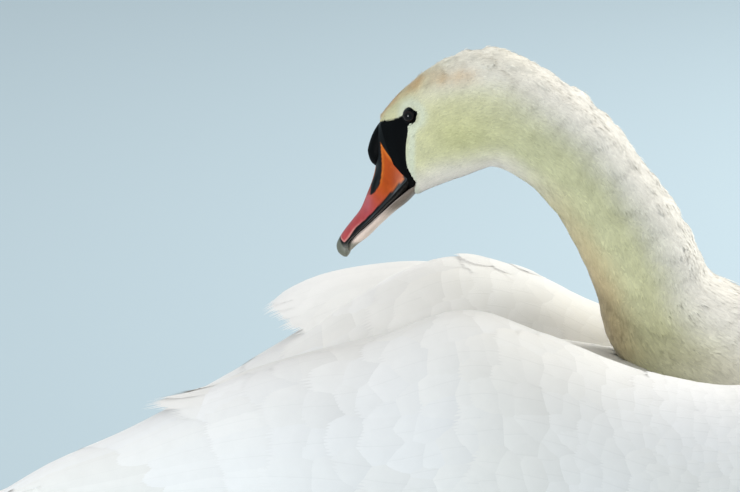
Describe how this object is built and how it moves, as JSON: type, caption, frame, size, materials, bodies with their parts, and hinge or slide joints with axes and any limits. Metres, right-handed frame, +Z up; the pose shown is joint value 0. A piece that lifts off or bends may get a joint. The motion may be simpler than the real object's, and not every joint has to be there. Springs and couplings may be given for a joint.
{
  "type": "mute swan",
  "caption": "Life-size still model of a mute swan resting on its belly, neck folded back and head turned over its half-raised wings, feet tucked under.",
  "frame": {"origin": "middle of the flat under the belly", "axes": "+X towards the breast, +Z up, -Y the bird's right side"},
  "size_m": [0.886, 0.3289, 0.493],
  "materials": {
    "plumage": "soft matt white feathers",
    "neck_down": "velvety cream feathers, stained warm on the crown",
    "bill_horn": "smooth satin horn, orange to rose, black edge and nail",
    "bill_under": "satin horn, pale rose with dark base",
    "black_skin": "soft black bare skin",
    "eye": "wet dark brown",
    "foot_skin": "scaly dark grey skin"
  },
  "bodies": {
    "root": {"trunk": "plumage", "neck_base": "neck_down", "neck_bend": "neck_down", "neck_middle": "neck_down", "neck_upper": "neck_down", "head": "neck_down", "eye_right": "eye", "eye_left": "eye", "bill_knob": "black_skin", "bill_upper": "bill_horn", "bill_lower": "bill_under", "wing_right_shoulder": "plumage", "wing_right_arm": "plumage", "wing_right_primaries": "plumage", "wing_left_shoulder": "plumage", "wing_left_arm": "plumage", "wing_left_primaries": "plumage", "tertials_right": "plumage", "tertials_left": "plumage", "tail": "plumage", "foot_right": "foot_skin", "foot_left": "foot_skin"}
  },
  "joints": []
}
